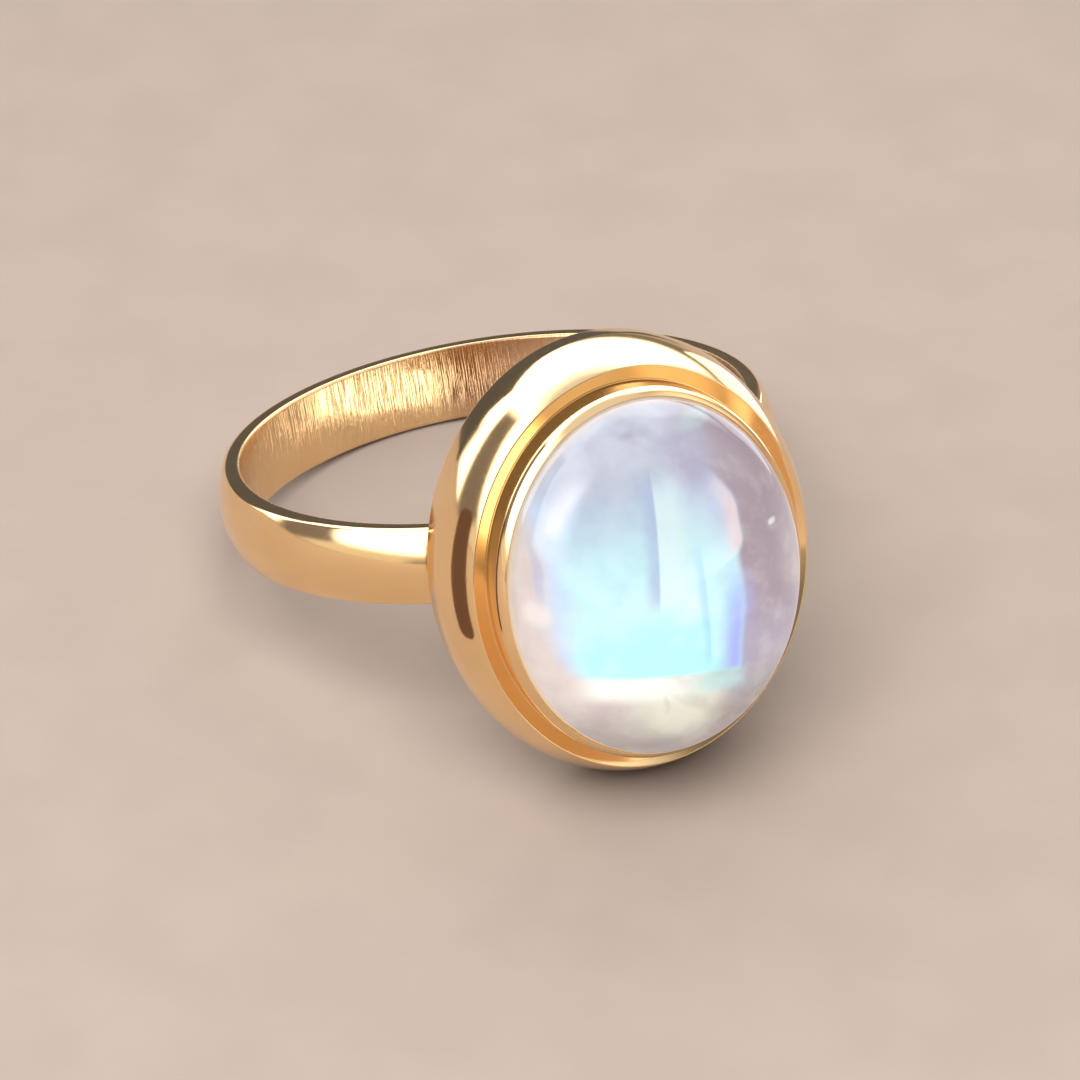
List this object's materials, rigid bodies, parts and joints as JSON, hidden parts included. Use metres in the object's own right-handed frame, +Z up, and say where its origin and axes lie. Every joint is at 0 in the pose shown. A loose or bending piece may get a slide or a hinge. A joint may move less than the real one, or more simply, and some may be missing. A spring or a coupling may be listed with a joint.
{
  "type": "finger ring with oval cabochon",
  "caption": "Finger ring lying on its side: slim D-section shank, oval bezel setting with a wide rounded rim, and a domed moonstone cabochon.",
  "frame": {"origin": "on the surface that the ring lies on, below the middle of its length and width", "axes": "+Z up from that surface; the stone faces -Y and slightly up, the shank's rear is towards +Y; +X to the right"},
  "size_m": [0.0188, 0.0248, 0.0142],
  "materials": {
    "gold": "polished gold plating with fine scratches",
    "moonstone": "polished, milky translucent with a blue sheen"
  },
  "bodies": {
    "root": {"ring_mount": "gold", "moonstone": "moonstone"}
  },
  "joints": []
}
